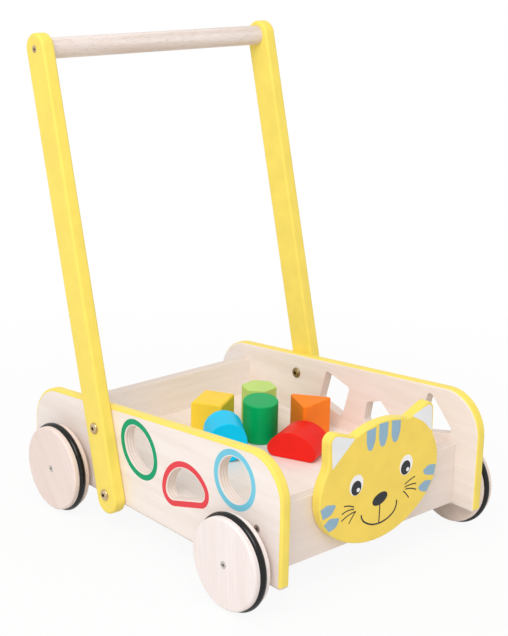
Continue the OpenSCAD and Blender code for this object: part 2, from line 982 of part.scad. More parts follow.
// Block standing on its end, with its end edges eased. The first child is the full outline and
// the second is the outline inset by the easing.
module prism_block() {
    hull() {
        translate([0, 0, block_round])
            linear_extrude(block_l - 2 * block_round)
                children(0);
        linear_extrude(block_l)
            children(1);
    }
}

module yellow_square_block() {
    lying_h = square_w - 2 * block_clear;
    color("#FFD54A")
        on_floor(yellow_place)
            translate([-block_l / 2, 0, lying_h / 2])
                rotate([90, 0, 90])
                    prism_block() {
                        square_shape(block_clear, block_corner_r);
                        square_shape(end_inset, end_corner_r);
                    }
}

module light_green_hexagon_block() {
    color("#C1DE83")
        on_floor(hexagon_place)
            prism_block() {
                hexagon_shape(block_clear, block_corner_r);
                hexagon_shape(end_inset, end_corner_r);
            }
}

module orange_triangle_block() {
    color("#FF7A22")
        on_floor(orange_place)
            prism_block() {
                triangle_shape(block_clear, block_corner_r);
                triangle_shape(end_inset, end_corner_r);
            }
}

module green_oval_block() {
    color("#00A04E")
        on_floor(green_place)
            prism_block() {
                oval_shape(block_clear);
                oval_shape(end_inset);
            }
}

module red_half_round_block() {
    color("#DC241F")
        on_floor(red_place)
            translate([0, 0, -block_clear])
                rotate([90, 0, 90])
                    intersection() {
                        linear_extrude(block_l, center = true)
                            half_shape(block_clear);
                        rotate_extrude()
                            disc_section(half_r - block_clear, block_l, block_round);
                    }
}

module blue_round_block() {
    r = round_d / 2 - block_clear;
    color("#00B8EA")
        on_floor(blue_place)
            translate([0, 0, r])
                rotate([90, 0, 90])
                    rotate_extrude()
                        disc_section(r, block_l, block_round);
}

right_side_panel();
left_side_panel();
front_wall();
rear_wall();
tray_floor();
head_board();
head_board_screws();
wall_screws();
right_handle_arm();
left_handle_arm();
handle_bar();
handle_bar_screws();
arm_bolts();
arm_nuts();
front_axle();
rear_axle();
front_right_wheel();
front_left_wheel();
rear_right_wheel();
rear_left_wheel();
front_right_tyre();
front_left_tyre();
rear_right_tyre();
rear_left_tyre();
front_wheel_screws();
rear_wheel_screws();
front_axle_washers();
rear_axle_washers();
yellow_square_block();
green_oval_block();
light_green_hexagon_block();
orange_triangle_block();
red_half_round_block();
blue_round_block();
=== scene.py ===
# %% [markdown]
# # A wooden baby push walker
# The real walker is a tray of birch plywood on four turned wheels. Its board edges are painted
# yellow, a cat's head stands on the front wall, a push handle is bolted to the sides, and six
# painted blocks match the six holes in the side panels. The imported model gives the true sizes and
# places, and this lesson gives every piece its looks.

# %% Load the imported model
from math import asin, atan2, cos, degrees, pi, radians, sin, sqrt, tan

import bmesh
import bpy
from mathutils import Matrix, Vector


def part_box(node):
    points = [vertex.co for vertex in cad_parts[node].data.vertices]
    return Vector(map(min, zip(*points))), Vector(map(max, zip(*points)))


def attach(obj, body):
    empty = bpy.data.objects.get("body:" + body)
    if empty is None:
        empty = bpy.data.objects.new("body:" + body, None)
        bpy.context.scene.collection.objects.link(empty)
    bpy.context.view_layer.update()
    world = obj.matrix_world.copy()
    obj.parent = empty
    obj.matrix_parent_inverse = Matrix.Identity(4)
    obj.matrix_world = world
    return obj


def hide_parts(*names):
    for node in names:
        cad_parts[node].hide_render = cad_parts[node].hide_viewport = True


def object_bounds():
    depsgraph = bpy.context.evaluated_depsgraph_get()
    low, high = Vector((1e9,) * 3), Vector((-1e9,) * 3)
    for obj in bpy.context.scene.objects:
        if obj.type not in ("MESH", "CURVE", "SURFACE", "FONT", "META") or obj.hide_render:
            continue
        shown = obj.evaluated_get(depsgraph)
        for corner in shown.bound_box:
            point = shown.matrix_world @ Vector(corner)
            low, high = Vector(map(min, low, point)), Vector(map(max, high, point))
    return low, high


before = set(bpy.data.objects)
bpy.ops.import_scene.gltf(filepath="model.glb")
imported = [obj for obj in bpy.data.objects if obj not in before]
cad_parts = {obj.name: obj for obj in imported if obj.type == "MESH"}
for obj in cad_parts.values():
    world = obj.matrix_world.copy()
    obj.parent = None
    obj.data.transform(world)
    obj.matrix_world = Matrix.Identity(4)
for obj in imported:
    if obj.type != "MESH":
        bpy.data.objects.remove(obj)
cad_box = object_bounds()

scene = bpy.context.scene

# %% [markdown]
# ## Units and colours
# Every piece is drawn in millimetres, because that is how a joiner thinks, and is turned to metres
# when it is put in its place. Colours are written as the sRGB hex values that a paint chart gives.
# Blender's shaders work in linear light, so one function changes them over.

# %% Units and colours
MM = 0.001


def linear(hex_colour):
    """An sRGB hex colour as linear red, green, blue and alpha."""
    channels = [int(hex_colour[i:i + 2], 16) / 255 for i in (1, 3, 5)]
    return [c / 12.92 if c <= 0.04045 else ((c + 0.055) / 1.055) ** 2.4 for c in channels] + [1.0]


def box_mm(node):
    """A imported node's lowest and highest corners, in millimetres."""
    low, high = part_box(node)
    return low / MM, high / MM


print("the walker's box in mm:", [[round(v / MM, 1) for v in corner] for corner in cad_box])

# %% [markdown]
# ## One function for shader nodes
# A material is a small tree of nodes. Writing out every node and link takes many lines, so one
# function adds a node, sets its own options, and fills each input with a value or a link. The two
# stops of a colour ramp are an option like any other.

# %% Add a shader node
def add(tree, kind, inputs=None, stops=None, **options):
    """Adds a node to a tree. An input given as a socket is linked, and any other is a value."""
    made = tree.nodes.new("ShaderNode" + kind)
    for name, value in options.items():
        setattr(made, name, value)
    for name, value in (inputs or {}).items():
        if isinstance(value, bpy.types.NodeSocket):
            tree.links.new(value, made.inputs[name])
        else:
            made.inputs[name].default_value = value
    for i, (position, hex_colour) in enumerate(stops or []):
        stop = made.color_ramp.elements[i]
        stop.position = position
        stop.color = linear(hex_colour)
    return made


def new_material(name):
    """An empty material, its node tree, and the place of each point on the piece."""
    material = bpy.data.materials.new(name)
    material.use_nodes = True
    material.node_tree.nodes.clear()
    place = add(material.node_tree, "TexCoord").outputs["Object"]
    return material, material.node_tree, place


print("materials of the packed model:", len(bpy.data.materials))

# %% [markdown]
# ## Birch plywood, sanded and lacquered
# The boards are birch plywood under a thin matt lacquer. Up close it has broad pale figure along
# the grain, and fine fibres a fraction of a millimetre wide. In this picture one pixel is about a
# millimetre, so the fibres are drawn at 1.2 mm to show at all. Both are noise, stretched along the
# grain. The grain runs along a panel or across a wall, so the direction is an argument, and a
# turn lets each wheel blank have its own.

# %% Birch faces
# How long each pattern is along the grain, and how wide across it
figure_size = (230, 13)
fibre_size = (26, 1.2)
wood_ior = 1.48
# Most of a noise texture's values lie in this range
noise_range = {"From Min": 0.3, "From Max": 0.7}


def scale_along(axis, length, width):
    """The scale of a pattern from its size in mm, long on one axis and narrow on the others."""
    return [1 / (MM * (length if name == axis else width)) for name in "XYZ"]


def birch_face(name, grain, turn=0.0, pale="#F8EEE8", deep="#F1E4DB", fibre="#E9D9CE"):
    """Sanded birch veneer under matt lacquer: faint figure and finer fibres along the grain."""
    material, tree, place = new_material(name)
    if turn:
        place = add(tree, "VectorRotate", {"Vector": place, "Angle": radians(turn)},
                    rotation_type="X_AXIS").outputs["Vector"]
    figure_place = add(tree, "Mapping", {
        "Vector": place, "Scale": scale_along(grain, *figure_size)})
    figure = add(tree, "TexNoise", {
        "Vector": figure_place.outputs["Vector"], "Scale": 1.0, "Detail": 3.0, "Roughness": 0.55,
        "Distortion": 0.4}).outputs["Fac"]
    fibre_place = add(tree, "Mapping", {
        "Vector": place, "Scale": scale_along(grain, *fibre_size)})
    fibres = add(tree, "TexNoise", {
        "Vector": fibre_place.outputs["Vector"], "Scale": 1.0, "Detail": 2.0,
        "Roughness": 0.6}).outputs["Fac"]
    figure_colour = add(tree, "ValToRGB", {"Fac": figure}, stops=[(0.3, deep), (0.62, pale)])
    fibre_share = add(tree, "MapRange", {
        "Value": fibres, "From Min": 0.5, "From Max": 0.8, "To Min": 0.0, "To Max": 0.4})
    colour = add(tree, "Mix", {
        "Factor": fibre_share.outputs["Result"],
        "A": figure_colour.outputs["Color"], "B": linear(fibre)}, data_type="RGBA")
    sheen = add(tree, "MapRange", {
        "Value": figure, **noise_range, "To Min": 0.48, "To Max": 0.6})
    relief = add(tree, "Bump", {"Height": fibres, "Strength": 0.12, "Distance": 0.1 * MM})
    shader = add(tree, "BsdfPrincipled", {
        "Base Color": colour.outputs["Result"], "Roughness": sheen.outputs["Result"],
        "Normal": relief.outputs["Normal"], "IOR": wood_ior})
    add(tree, "OutputMaterial", {"Surface": shader.outputs["BSDF"]})
    return material


board_face = birch_face("birch_veneer_sanded_and_lacquered", "Y")
print("veneer of the panels and the floor:", board_face.name)

# %% [markdown]
# ## Plywood edges, sawn and sanded
# Where a board is cut, its seven crossed veneers show as pale and brown bands. End grain drinks
# more lacquer, so every second band is darker. A wave texture across the board gives the bands,
# and its period is two veneers. A little noise keeps the glue lines from being ruler straight.

# %% Plywood edges
ply_thickness = 12
ply_veneers = 7
pore_size = 2.5
# Blender's wave texture turns through 20 radians in one unit of its scale
wave_radians = 20


def ply_edge(name, across, low):
    """Sawn edge of birch plywood: pale and brown veneers across the board, from a height in mm."""
    material, tree, place = new_material(name)
    period = 2 * ply_thickness / ply_veneers * MM
    start = [-low * MM if axis == across else 0 for axis in "XYZ"]
    layers = add(tree, "Mapping", {"Vector": place, "Location": start}).outputs["Vector"]
    bands = add(tree, "TexWave", {
        "Vector": layers, "Scale": 2 * pi / (wave_radians * period), "Distortion": 0.6,
        "Detail": 1.0, "Detail Scale": 0.2, "Phase Offset": pi / 2},
        wave_type="BANDS", bands_direction=across).outputs["Fac"]
    pores = add(tree, "TexNoise", {
        "Vector": place, "Scale": 1 / (pore_size * MM), "Detail": 3.0}).outputs["Fac"]
    bands_colour = add(tree, "ValToRGB", {"Fac": bands}, stops=[(0.3, "#D9C5B9"), (0.7, "#F3E9E2")])
    colour = add(tree, "Mix", {
        "Factor": pores, "A": bands_colour.outputs["Color"], "B": linear("#E8DAD0")},
        data_type="RGBA")
    relief = add(tree, "Bump", {"Height": bands, "Strength": 0.15, "Distance": 0.2 * MM})
    shader = add(tree, "BsdfPrincipled", {
        "Base Color": colour.outputs["Result"], "Roughness": 0.62,
        "Normal": relief.outputs["Normal"], "IOR": wood_ior})
    add(tree, "OutputMaterial", {"Surface": shader.outputs["BSDF"]})
    return material


print("each veneer is", round(ply_thickness / ply_veneers, 2), "mm thick")

# %% [markdown]
# ## Satin paint, sprayed on wood
# The board edges, handle arms, cat's head, rings and blocks have a water-based satin paint. It is
# even, with soft broad highlights, a faint orange peel from the spray gun, and here and there the
# grain under it. One function takes the paint's colour. Real orange peel is about 1 mm across, and
# it is drawn at 1.6 mm so that it shows.

# %% Satin paint
mottle_size = 22
peel_size = 1.6
# Rings and blocks shine less than the boards
flat_gloss = 0.12


def satin_paint(name, hex_colour, roughness=0.4, gloss=0.25):
    """Sprayed satin paint on wood: even colour, faint orange peel and soft broad highlights."""
    material, tree, place = new_material(name)
    mottle = add(tree, "TexNoise", {
        "Vector": place, "Scale": 1 / (mottle_size * MM), "Detail": 3.0}).outputs["Fac"]
    peel = add(tree, "TexNoise", {
        "Vector": place, "Scale": 1 / (peel_size * MM), "Detail": 1.0}).outputs["Fac"]
    value = add(tree, "MapRange", {
        "Value": mottle, **noise_range, "To Min": 0.955, "To Max": 1.035})
    colour = add(tree, "HueSaturation", {
        "Color": linear(hex_colour), "Value": value.outputs["Result"]})
    sheen = add(tree, "MapRange", {
        "Value": mottle, **noise_range, "To Min": roughness - 0.05, "To Max": roughness + 0.06})
    relief = add(tree, "Bump", {"Height": peel, "Strength": 0.1, "Distance": 0.1 * MM})
    shader = add(tree, "BsdfPrincipled", {
        "Base Color": colour.outputs["Color"], "Roughness": sheen.outputs["Result"],
        "Normal": relief.outputs["Normal"], "Specular IOR Level": gloss})
    add(tree, "OutputMaterial", {"Surface": shader.outputs["BSDF"]})
    return material


yellow_paint = satin_paint("yellow_satin_paint_sprayed", "#FAE167")
face_paint = satin_paint("mustard_satin_paint_rolled", "#FDDD62", 0.45)
print("paints so far:", yellow_paint.name, face_paint.name)

# %% [markdown]
# ## Turned beech, moulded rubber and metal
# The grip is a beech dowel: pinkish, with the short dark flecks of beech's rays along the grain.
# The tyres are moulded rubber rings with a dull gloss. The bolts and the arms' screws are
# brass-plated steel, tumbled to a soft shine. The nuts inside the tray are rougher, and their
# darker brass is painted shade. The other screws are zinc-plated. The recesses of all the metal
# get a dark painted shade, which ambient occlusion finds.
# Metals keep the default index of refraction.

# %% Turned beech
beech_figure = (160, 7)
beech_rays = (9, 0.9)


def turned_beech(name, grain):
    """Turned and sanded beech: pinkish figure and short dark ray flecks along the grain."""
    material, tree, place = new_material(name)
    figure_place = add(tree, "Mapping", {
        "Vector": place, "Scale": scale_along(grain, *beech_figure)})
    figure = add(tree, "TexNoise", {
        "Vector": figure_place.outputs["Vector"], "Scale": 1.0, "Detail": 3.0}).outputs["Fac"]
    ray_place = add(tree, "Mapping", {"Vector": place, "Scale": scale_along(grain, *beech_rays)})
    flecks = add(tree, "TexNoise", {
        "Vector": ray_place.outputs["Vector"], "Scale": 1.0, "Detail": 1.0}).outputs["Fac"]
    wood = add(tree, "ValToRGB", {"Fac": figure}, stops=[(0.32, "#DDCBC0"), (0.66, "#EFE2DB")])
    fleck_share = add(tree, "MapRange", {
        "Value": flecks, "From Min": 0.58, "From Max": 0.72, "To Min": 0.0, "To Max": 0.6})
    colour = add(tree, "Mix", {
        "Factor": fleck_share.outputs["Result"],
        "A": wood.outputs["Color"], "B": linear("#C6AA98")}, data_type="RGBA")
    relief = add(tree, "Bump", {"Height": flecks, "Strength": 0.1, "Distance": 0.1 * MM})
    shader = add(tree, "BsdfPrincipled", {
        "Base Color": colour.outputs["Result"], "Roughness": 0.5,
        "Normal": relief.outputs["Normal"], "IOR": wood_ior})
    add(tree, "OutputMaterial", {"Surface": shader.outputs["BSDF"]})
    return material


beech = turned_beech("beech_turned_and_sanded", "X")
print("grip and axles:", beech.name)

# %% Moulded rubber
dust_size = 6


def moulded_rubber(name):
    """Moulded black rubber: near black, dull gloss, dusted unevenly by handling."""
    material, tree, place = new_material(name)
    dust = add(tree, "TexNoise", {
        "Vector": place, "Scale": 1 / (dust_size * MM), "Detail": 4.0}).outputs["Fac"]
    colour = add(tree, "ValToRGB", {"Fac": dust}, stops=[(0.35, "#0B0A0A"), (0.75, "#181716")])
    sheen = add(tree, "MapRange", {
        "Value": dust, **noise_range, "To Min": 0.14, "To Max": 0.24})
    relief = add(tree, "Bump", {"Height": dust, "Strength": 0.08, "Distance": 0.1 * MM})
    shader = add(tree, "BsdfPrincipled", {
        "Base Color": colour.outputs["Color"], "Roughness": sheen.outputs["Result"],
        "Normal": relief.outputs["Normal"], "IOR": 1.52, "Specular IOR Level": 0.3})
    add(tree, "OutputMaterial", {"Surface": shader.outputs["BSDF"]})
    return material


rubber = moulded_rubber("black_rubber_moulded")
print("tyres:", rubber.name)

# %% Plated metal
tumble_size = 2.2
recess_reach = 3


def plated_metal(name, dark, pale, roughness):
    """Plated and tumbled metal: a soft shine, a little uneven, with painted shade in the recesses.
    """
    material, tree, place = new_material(name)
    tumble = add(tree, "TexNoise", {
        "Vector": place, "Scale": 1 / (tumble_size * MM), "Detail": 4.0}).outputs["Fac"]
    plating = add(tree, "ValToRGB", {"Fac": tumble}, stops=[(0.3, dark), (0.7, pale)])
    # Ambient occlusion mixes dark brown into the recesses: this is painted shade
    open_air = add(tree, "AmbientOcclusion", {"Distance": recess_reach * MM},
                   samples=8, only_local=True).outputs["AO"]
    unshaded = add(tree, "MapRange", {"Value": open_air, "From Min": 0.4, "From Max": 0.85})
    colour = add(tree, "Mix", {
        "Factor": unshaded.outputs["Result"],
        "A": linear("#2C1E17"), "B": plating.outputs["Color"]}, data_type="RGBA")
    sheen = add(tree, "MapRange", {
        "Value": tumble, **noise_range, "To Min": roughness - 0.06, "To Max": roughness + 0.08})
    relief = add(tree, "Bump", {"Height": tumble, "Strength": 0.05, "Distance": 0.05 * MM})
    shader = add(tree, "BsdfPrincipled", {
        "Base Color": colour.outputs["Result"], "Metallic": 1.0,
        "Roughness": sheen.outputs["Result"], "Normal": relief.outputs["Normal"]})
    add(tree, "OutputMaterial", {"Surface": shader.outputs["BSDF"]})
    return material


brass = plated_metal("brass_plated_steel_tumbled", "#A8895F", "#E0C8A2", 0.24)
# The nuts' brass is darker than the bolts' to paint the shade inside the tray, and it is also
# rougher
rough_brass_in_painted_shade = plated_metal("brass_plated_steel_rough_in_painted_shade", "#7F6A47", "#A9936A", 0.36)
zinc = plated_metal("zinc_plated_steel", "#B6AFA8", "#E9E3DD", 0.28)
print("metals:", brass.name, rough_brass_in_painted_shade.name, zinc.name)

# %% [markdown]
# ## Drawing outlines with spin
# A joiner sets out a board with straight lines and corner radii. An outline here is a list of
# arcs, and each arc is one vertex that spin carries round its centre, so no list of points is
# written out. Straight stretches are the edges that join one arc to the next. An outline grows or
# shrinks evenly when its radii do, so one outline serves a hole, its ring and its block.

# %% Arcs
# How far a chord may stray from its arc
chord_error = 0.02


def rounded(*corners):
    """The arcs that round an outline's corners, each given as its place and its radius."""
    arcs = []
    for i, (x, y, radius) in enumerate(corners):
        before, after = corners[i - 1], corners[(i + 1) % len(corners)]
        heading = atan2(y - before[1], x - before[0])
        turn = (atan2(after[1] - y, after[0] - x) - heading + pi) % (2 * pi) - pi
        side = 1 if turn > 0 else -1
        back = radius * tan(abs(turn) / 2)
        centre_x = x - back * cos(heading) - side * radius * sin(heading)
        centre_y = y - back * sin(heading) + side * radius * cos(heading)
        start = degrees(heading) - side * 90
        arcs.append((centre_x, centre_y, radius, start, start + degrees(turn)))
    return arcs


def draw_arc(bm, arc, grow=0.0):
    """Spins one vertex along an arc, and returns the arc's first and last vertices."""
    x, y, radius, start, end = arc
    reach = radius + grow * (1 if end >= start else -1)
    spoke = Vector((cos(radians(start)), sin(radians(start)), 0))
    first = bm.verts.new(Vector((x, y, 0)) + reach * spoke)
    sweep = radians(end - start)
    if reach < chord_error or not sweep:
        return first, first
    # A chord that strays by e from an arc of radius r spans an angle of sqrt(8 e / r)
    steps = max(2, round(abs(sweep) / sqrt(8 * chord_error / reach)))
    spun = bmesh.ops.spin(bm, geom=[first], cent=(x, y, 0), axis=(0, 0, 1), angle=sweep,
                          steps=steps)
    return first, next(g for g in spun["geom_last"] if isinstance(g, bmesh.types.BMVert))


print("an arc strays from its true curve by", chord_error, "mm at most")

# %% Outlines
# How close together vertices are merged
weld = 0.001


def draw(bm, arcs, grow=0.0, place=Matrix()):
    """Draws a closed outline of arcs, moves it to its place and returns its edges."""
    old_verts = set(bm.verts)
    old_edges = set(bm.edges)
    ends = [draw_arc(bm, arc, grow) for arc in arcs]
    for i, (first, _) in enumerate(ends):
        bm.edges.new((ends[i - 1][1], first))
    new_verts = [v for v in bm.verts if v not in old_verts]
    bmesh.ops.transform(bm, verts=new_verts, matrix=place)
    bmesh.ops.remove_doubles(bm, verts=new_verts, dist=weld)
    return [e for e in bm.edges if e not in old_edges]


def circle(radius):
    """A circle's two arcs."""
    return [(0, 0, radius, -90, 90), (0, 0, radius, 90, 270)]


def regular(sides, inner, corner, turn=0.0):
    """A regular outline with rounded corners, from its inner radius."""
    outer = inner / cos(pi / sides)
    angles = [radians(turn + 360 * i / sides) for i in range(sides)]
    return rounded(*[(outer * cos(a), outer * sin(a), corner) for a in angles])


def rectangle(left, low, right, high):
    """A rectangle with sharp corners."""
    return rounded((left, low, 0), (right, low, 0), (right, high, 0), (left, high, 0))


print("vertices are merged within", weld, "mm")

# %% [markdown]
# ## Boards
# A board is an outline that is filled, pulled out to its thickness, and rounded over along both
# rims, as a router does it. The bevel operator does the rounding. Holes and blind sockets come
# next: the flat faces are taken off, each hole's mouth is drawn on them, triangle_fill closes the
# flats round the mouths, and bridge_loops makes the walls. A boolean would do it too, but it
# leaves thin faces that shade badly.

# %% Boards
rim_segments = 5


def thicken(bm, faces, depth):
    """Pulls flat faces along Z into a closed slab."""
    made = bmesh.ops.extrude_face_region(bm, geom=faces)["geom"]
    moved = [g for g in made if isinstance(g, bmesh.types.BMVert)]
    bmesh.ops.translate(bm, verts=moved, vec=(0, 0, depth))


def bevel(bm, edges, width):
    """Rounds edges over."""
    bmesh.ops.bevel(bm, geom=edges, offset=width, offset_type="OFFSET", affect="EDGES",
                    segments=rim_segments, profile=0.5, material=-1, clamp_overlap=True)


def level_edges(bm, height):
    """The edges that lie at one height."""
    return [e for e in bm.edges if all(abs(v.co.z - height) < chord_error for v in e.verts)]


def slab(bm, edges, thickness, rim=0.0):
    """Fills a drawn outline, thickens it about the plane z = 0 and rounds its rims over."""
    half = thickness / 2
    faces = bmesh.ops.edgeloop_fill(bm, edges=edges)["faces"]
    bmesh.ops.translate(bm, verts=bm.verts, vec=(0, 0, -half))
    thicken(bm, faces, thickness)
    bmesh.ops.recalc_face_normals(bm, faces=bm.faces)
    if rim:
        bevel(bm, level_edges(bm, half) + level_edges(bm, -half), rim)


print("rims are rounded over in", rim_segments, "steps")

# %% Holes and sockets
hole_chamfer = 0.5


def sink(bm, outline, place, steps, wall_index):
    """Draws an outline at each step, which is how much it grows and its height, and joins the
    loops into a wall."""
    loops = [draw(bm, outline, grow, Matrix.Translation((0, 0, z)) @ place) for grow, z in steps]
    for one, other in zip(loops, loops[1:]):
        for face in bmesh.ops.bridge_loops(bm, edges=one + other)["faces"]:
            face.material_index = wall_index
    return loops


def pierce(bm, thickness, holes=(), pits=(), wall_index=2):
    """Opens a slab's flats: holes are (outline, place), and pits are (outline, place, side of the
    slab, depth, how much narrower their bottom is)."""
    half = thickness / 2
    mouths = {}
    for height in (half, -half):
        flat = max((f for f in bm.faces if abs(f.calc_center_median().z - height) < chord_error),
                   key=lambda f: f.calc_area())
        mouths[height] = list(flat.edges)
        bmesh.ops.delete(bm, geom=[flat], context="FACES_ONLY")
    straight = half - hole_chamfer
    hole_steps = [(hole_chamfer, half), (0, straight), (0, -straight), (hole_chamfer, -half)]
    for outline, place in holes:
        loops = sink(bm, outline, place, hole_steps, wall_index)
        mouths[half] += loops[0]
        mouths[-half] += loops[-1]
    for outline, place, side, depth, taper in pits:
        steps = [(0, side * half), (-taper, side * (half - depth))]
        mouth, bottom = sink(bm, outline, place, steps, wall_index)
        for face in bmesh.ops.edgeloop_fill(bm, edges=bottom)["faces"]:
            face.material_index = wall_index
        mouths[side * half] += mouth
    for edges in mouths.values():
        bmesh.ops.triangle_fill(bm, edges=edges, use_beauty=True)


print("a hole's mouths have a chamfer of", hole_chamfer, "mm")

# %% [markdown]
# ## Putting a piece in place
# Every piece ends the same way: doubles are merged, faces are turned outwards, millimetres become
# metres, and the mesh is shaded smooth with its hard edges kept. Weighted normals keep big flats
# flat beside a round rim. The piece then rides on its body and stands for its node. The print
# shows how far its box is from the node's.

# %% Put a piece in place
sharp_angle = 32


def make_piece(name, bm, place, body, materials, node=None):
    """Makes an object of a drawn piece, in its place, with its finish, standing for its node."""
    bmesh.ops.remove_doubles(bm, verts=bm.verts, dist=weld)
    bmesh.ops.recalc_face_normals(bm, faces=bm.faces)
    bm.transform(Matrix.Scale(MM, 4) @ place)
    mesh = bpy.data.meshes.new(name)
    bm.to_mesh(mesh)
    bm.free()
    for material in materials:
        mesh.materials.append(material)
    mesh.shade_smooth()
    mesh.set_sharp_from_angle(angle=radians(sharp_angle))
    piece = bpy.data.objects.new(name, mesh)
    scene.collection.objects.link(piece)
    flat = piece.modifiers.new("flats_stay_flat", "WEIGHTED_NORMAL")
    flat.keep_sharp = True
    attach(piece, body)
    print(f"{name}: {len(mesh.vertices)} vertices")
    if node:
        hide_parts(node)
        points = [v.co / MM for v in mesh.vertices]
        low, high = box_mm(node)
        off = max(max(abs(min(p[i] for p in points) - low[i]) for i in range(3)),
                  max(abs(max(p[i] for p in points) - high[i]) for i in range(3)))
        print(f"  its box is {off:.2f} mm from that of {node}")


# A drawing on a side panel has X to the rear and Y up, and one on a wall has X to the left side
on_side = Matrix.Rotation(pi / 2, 4, "Z") @ Matrix.Rotation(pi / 2, 4, "X")
on_front = Matrix.Rotation(pi / 2, 4, "X")
print("edges stay hard from", sharp_angle, "degrees")

# %% [markdown]
# ## Six shapes, for holes, rings and blocks
# A shape sorter works because a hole and its block share one outline, with a little play. Each
# outline is written once. The hole takes it as it is, the painted ring is grown from it, and the
# block is shrunk by the play.

# %% The six shapes
hole_corner = 4.5
block_corner = 3
block_play = 1.2
half_corner = 9
half_radius = 33
square_side = 40
hexagon_width = 39
triangle_inner = 15.8
round_width = 47
oval_width = 43
oval_length = 53
oval_end = 18.6


def half_round(radius, corner):
    """A half disc on its flat side, with its two corners rounded."""
    reach = sqrt((radius - corner) ** 2 - corner ** 2)
    side = degrees(atan2(corner, reach))
    return [(reach, corner, corner, -90, side), (0, 0, radius, side, 180 - side),
            (-reach, corner, corner, 180 - side, 270)]


def oval(length, width, end):
    """Four arcs: two ends of a given radius, and two flatter sides that run smoothly into them."""
    end_x = length / 2 - end
    side = (end_x ** 2 + width ** 2 / 4 - end ** 2) / (width - 2 * end)
    drop = side - width / 2
    join = degrees(atan2(drop, end_x))
    return [(end_x, 0, end, -join, join), (0, -drop, side, join, 180 - join),
            (-end_x, 0, end, 180 - join, 180 + join), (0, drop, side, 180 + join, 360 - join)]


def shapes(corner, play=0.0):
    """The six outlines. The corners get the play back when the outline is shrunk by it."""
    return {
        "square": regular(4, square_side / 2, corner + play, 45),
        "hexagon": regular(6, hexagon_width / 2, corner + play),
        "triangle": regular(3, triangle_inner, corner + play),
        "half_round": half_round(half_radius, half_corner + play),
        "oval": oval(oval_length, oval_width, oval_end),
        "round": circle(round_width / 2)}


hole_shapes = shapes(hole_corner)
block_shapes = shapes(block_corner, block_play)
print("shapes:", list(hole_shapes))

# %% [markdown]
# ## Side panels
# The two panels are the biggest boards. Their top edge falls towards the rear, their upper corners
# are wide arcs, and the rims are rounded over and painted yellow, while the faces stay bare. The
# spray covers the whole rounding on the outside, and less of it on the inside. Each panel has three
# holes with sawn, unpainted walls. The screw heads sit flush, so they get countersinks.

# %% Outline of the side panels
panel_low, panel_high = box_mm("right_side_panel")
# The holes and the top edge are measured from this height
panel_base = 36
panel_front_height = 132.5
panel_fall = radians(5.8)
panel_front_corner = 45
panel_rear_corner = 48
panel_foot_corner = 4
panel_rim = 3
panel_length = panel_high.y - panel_low.y
front_top = panel_base + panel_front_height
rear_top = front_top - tan(panel_fall) * panel_length
panel_outline = rounded(
    (panel_low.y, panel_low.z, panel_foot_corner), (panel_high.y, panel_low.z, panel_foot_corner),
    (panel_high.y, rear_top, panel_rear_corner), (panel_low.y, front_top, panel_front_corner))
print("a panel is", round(panel_length, 1), "mm long, and its top falls to", round(rear_top, 1))

# %% Holes of the side panels
# Each hole is its distance behind the front edge, its height above the panel's base, and its turn
panel_holes = {
    "right": {"round": (68.6, 89.5, 0), "half_round": (142, 42.5, -16.4), "oval": (222, 71.5, 45)},
    "left": {"triangle": (64, 88.5, 76), "hexagon": (146, 63, 40), "square": (216.5, 72.5, 15.5)}}
outward = {"right": -1, "left": 1}
screw_head = 8
screw_cone = 2
seat_play = 0.1
countersink = circle(screw_head / 2 + seat_play)
wall_screw_heights = (53, 87)
nut_sleeve = 9
arm_lean = radians(14.2)
low_bolt = Vector((52.7, 46))
bolt_gap = 73
up_the_arm = Vector((sin(arm_lean), cos(arm_lean)))
bolt_places = [low_bolt, low_bolt + bolt_gap * up_the_arm]


def spot(x, y, turn=0.0):
    """A place in a drawing."""
    return Matrix.Translation((x, y, 0)) @ Matrix.Rotation(radians(turn), 4, "Z")


def hole_spot(behind, rise, turn):
    """A hole's place in the drawing of a panel."""
    return spot(panel_low.y + behind, panel_base + rise, turn)


nut_holes = [(circle(nut_sleeve / 2 + seat_play), spot(*where)) for where in bolt_places]
wall_middles = [sum(c.y for c in box_mm(node)) / 2 for node in ("front_wall", "rear_wall")]
floor_low, floor_high = box_mm("tray_floor")
floor_groove = rectangle(floor_low.y, floor_low.z, floor_high.y, floor_high.z)
floor_groove_depth = floor_high.x - box_mm("front_wall")[1].x
print("the floor sits", round(floor_groove_depth, 1), "mm deep in each panel")

# %% The two side panels
# A face of the rounding stays bare where its normal points this much straight out, or straight in
bare_outside = 0.995
bare_inside = 0.8
for side, holes in panel_holes.items():
    out = outward[side]
    low, high = box_mm(side + "_side_panel")
    thickness = high.x - low.x
    openings = [(hole_shapes[shape], hole_spot(*where)) for shape, where in holes.items()]
    pits = [(countersink, spot(y, z), out, screw_cone, screw_cone)
            for y in wall_middles for z in wall_screw_heights]
    pits.append((floor_groove, Matrix(), -out, floor_groove_depth, 0))
    bm = bmesh.new()
    slab(bm, draw(bm, panel_outline), thickness, panel_rim)
    for face in bm.faces:
        facing_out = face.normal.z * out
        at_foot = face.calc_center_median().y < panel_low.z + panel_rim
        bare = facing_out > bare_outside or facing_out < -bare_inside
        face.material_index = 0 if bare else 2 if at_foot else 1
    pierce(bm, thickness, openings + nut_holes, pits)
    place = Matrix.Translation(((low.x + high.x) / 2, 0, 0)) @ on_side
    hole_wall = ply_edge(f"birch_ply_edge_sawn_{side}", "X", low.x)
    make_piece(f"{side}_side_panel_dressed", bm, place, "frame",
               [board_face, yellow_paint, hole_wall], side + "_side_panel")

# %% [markdown]
# ## Painted rings round the holes
# Each hole has a ring in its block's colour, sprayed through a mask. It is a film of paint: two
# outlines of the same shape, one grown a little more than the other, bridged and thickened to a
# tenth of a millimetre. A film that is geometry stays with the model wherever it goes.

